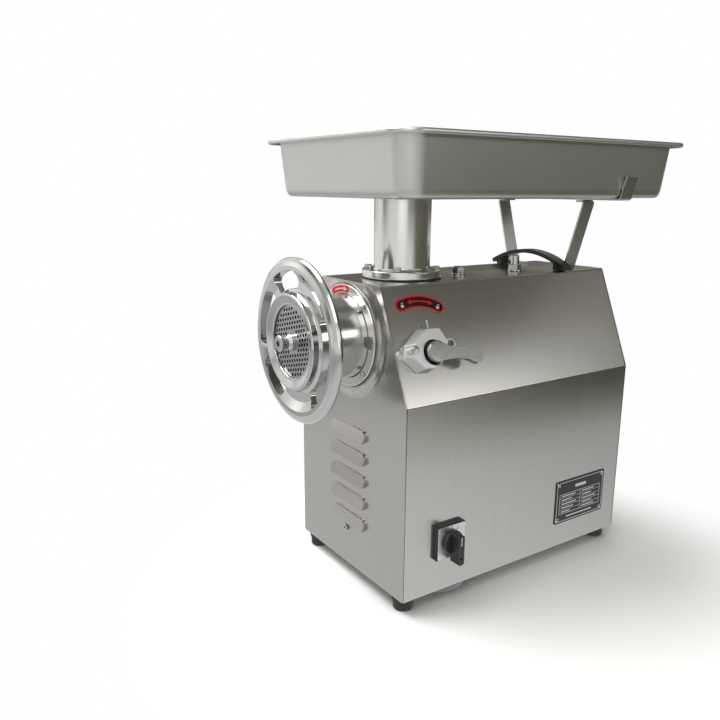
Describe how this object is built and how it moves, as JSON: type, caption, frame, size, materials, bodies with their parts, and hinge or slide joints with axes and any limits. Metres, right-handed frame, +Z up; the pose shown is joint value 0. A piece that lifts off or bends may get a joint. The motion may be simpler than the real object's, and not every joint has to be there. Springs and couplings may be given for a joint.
{
  "type": "meat grinder",
  "caption": "Countertop electric meat grinder: steel casing, feed tray on a neck, screw-fed head with cutter plate and wheel-shaped ring nut, lock lever and rotary switch.",
  "frame": {"origin": "on the surface the machine stands on, at the centre of its bounding box's footprint", "axes": "+X towards the switch and lever side, +Y towards the rear, -Y out of the grinding head, +Z up"},
  "size_m": [0.308, 0.5302, 0.558],
  "materials": {
    "casing_steel": "brushed stainless sheet",
    "head_steel": "turned satin stainless",
    "tray_steel": "drawn satin stainless",
    "wheel_chrome": "polished casting",
    "fastener_steel": "bright plated steel",
    "tool_steel": "ground hardened steel",
    "lever_alloy": "satin cast alloy",
    "grey_cast": "grey die casting",
    "black_plastic": "moulded black plastic",
    "switch_silver": "silver switch plate",
    "plate_black": "black printed plate with a silver frame",
    "foot_rubber": "moulded black rubber",
    "winding_copper": "varnished winding on a steel core",
    "capacitor_white": "white capacitor can"
  },
  "bodies": {
    "frame": {"base_plate": "casing_steel", "cover_shell": "casing_steel", "front_panel": "casing_steel", "rear_panel": "casing_steel", "base_dish": "grey_cast", "foot_fl": "foot_rubber", "foot_fr": "foot_rubber", "foot_rl": "foot_rubber", "foot_rr": "foot_rubber", "earth_screw": "fastener_steel", "cable_gland": "black_plastic", "head_housing": "head_steel", "flange_screw_1": "fastener_steel", "flange_screw_2": "fastener_steel", "flange_screw_3": "fastener_steel", "flange_screw_4": "fastener_steel", "feed_neck": "head_steel", "neck_gasket": "foot_rubber", "neck_bolt_1": "fastener_steel", "neck_bolt_2": "fastener_steel", "neck_bolt_3": "fastener_steel", "neck_bolt_4": "fastener_steel", "tray_leg_left": "casing_steel", "tray_leg_right": "casing_steel", "tray_cradle": "casing_steel", "carry_handle": "black_plastic", "handle_bolt_left": "fastener_steel", "handle_bolt_right": "fastener_steel", "top_bolt_front": "fastener_steel", "top_bolt_rear": "fastener_steel", "lock_bracket": "lever_alloy", "bracket_screw_1": "fastener_steel", "bracket_screw_2": "fastener_steel", "switch_base": "black_plastic", "switch_face": "switch_silver", "switch_block": "black_plastic", "rating_plate": "plate_black", "output_bearing": "fastener_steel", "gearbox_case": "grey_cast", "gearbox_cover": "grey_cast", "stator": "winding_copper", "motor_can": "grey_cast", "motor_end_bell": "grey_cast", "run_capacitor": "capacitor_white"},
    "tray": {"feed_tray": "tray_steel"},
    "barrel": {"barrel": "head_steel"},
    "worm": {"worm": "tool_steel", "knife": "tool_steel"},
    "plate": {"cutter_plate": "tool_steel"},
    "ring": {"ring_nut": "wheel_chrome"},
    "lever": {"lock_lever": "lever_alloy", "lock_shaft": "tool_steel"},
    "knob": {"switch_knob": "black_plastic"},
    "output": {"output_shaft": "tool_steel", "output_gear": "tool_steel"},
    "idler": {"idler_shaft": "tool_steel", "idler_gear": "tool_steel"},
    "rotor": {"motor_shaft": "tool_steel", "rotor": "tool_steel", "motor_fan": "black_plastic"}
  },
  "joints": [
    {"name": "tray_lift", "type": "slide", "parent": "frame", "child": "tray", "axis": [0, 0, 1], "range_m": [0, 0.15]},
    {"name": "barrel_slide", "type": "slide", "parent": "frame", "child": "barrel", "axis": [0, -1, 0], "range_m": [0, 0.2]},
    {"name": "worm_spin", "type": "hinge", "parent": "barrel", "child": "worm", "pos_m": [0, -0.1671, 0.3247], "axis": [0, -1, 0], "continuous": true},
    {"name": "ring_turn", "type": "hinge", "parent": "plate", "child": "ring", "pos_m": [0, -0.2421, 0.3247], "axis": [0, -1, 0], "range_deg": [0, 1080]},
    {"name": "plate_slide", "type": "slide", "parent": "barrel", "child": "plate", "axis": [0, -1, 0], "range_m": [0, 0.0091]},
    {"name": "lock_turn", "type": "hinge", "parent": "frame", "child": "lever", "pos_m": [0.09562, -0.1236, 0.31246], "axis": [0.9249, 0, 0.3803], "range_deg": [0, 100]},
    {"name": "switch_turn", "type": "hinge", "parent": "frame", "child": "knob", "pos_m": [0.1171, -0.0996, 0.0838], "axis": [1, 0, 0], "range_deg": [-60, 60]},
    {"name": "output_spin", "type": "hinge", "parent": "frame", "child": "output", "pos_m": [0, 0, 0.3247], "axis": [0, -1, 0], "continuous": true},
    {"name": "idler_spin", "type": "hinge", "parent": "frame", "child": "idler", "pos_m": [0, 0, 0.2437], "axis": [0, -1, 0], "continuous": true},
    {"name": "motor_spin", "type": "hinge", "parent": "frame", "child": "rotor", "pos_m": [0, 0, 0.1597], "axis": [0, -1, 0], "continuous": true}
  ],
  "couplings": [
    {"joint": "output_spin", "follows": "worm_spin", "ratio": 1},
    {"joint": "idler_spin", "follows": "worm_spin", "ratio": -2},
    {"joint": "motor_spin", "follows": "worm_spin", "ratio": 7.3333},
    {"joint": "plate_slide", "follows": "ring_turn", "m_per_rad": 0.00047746}
  ]
}
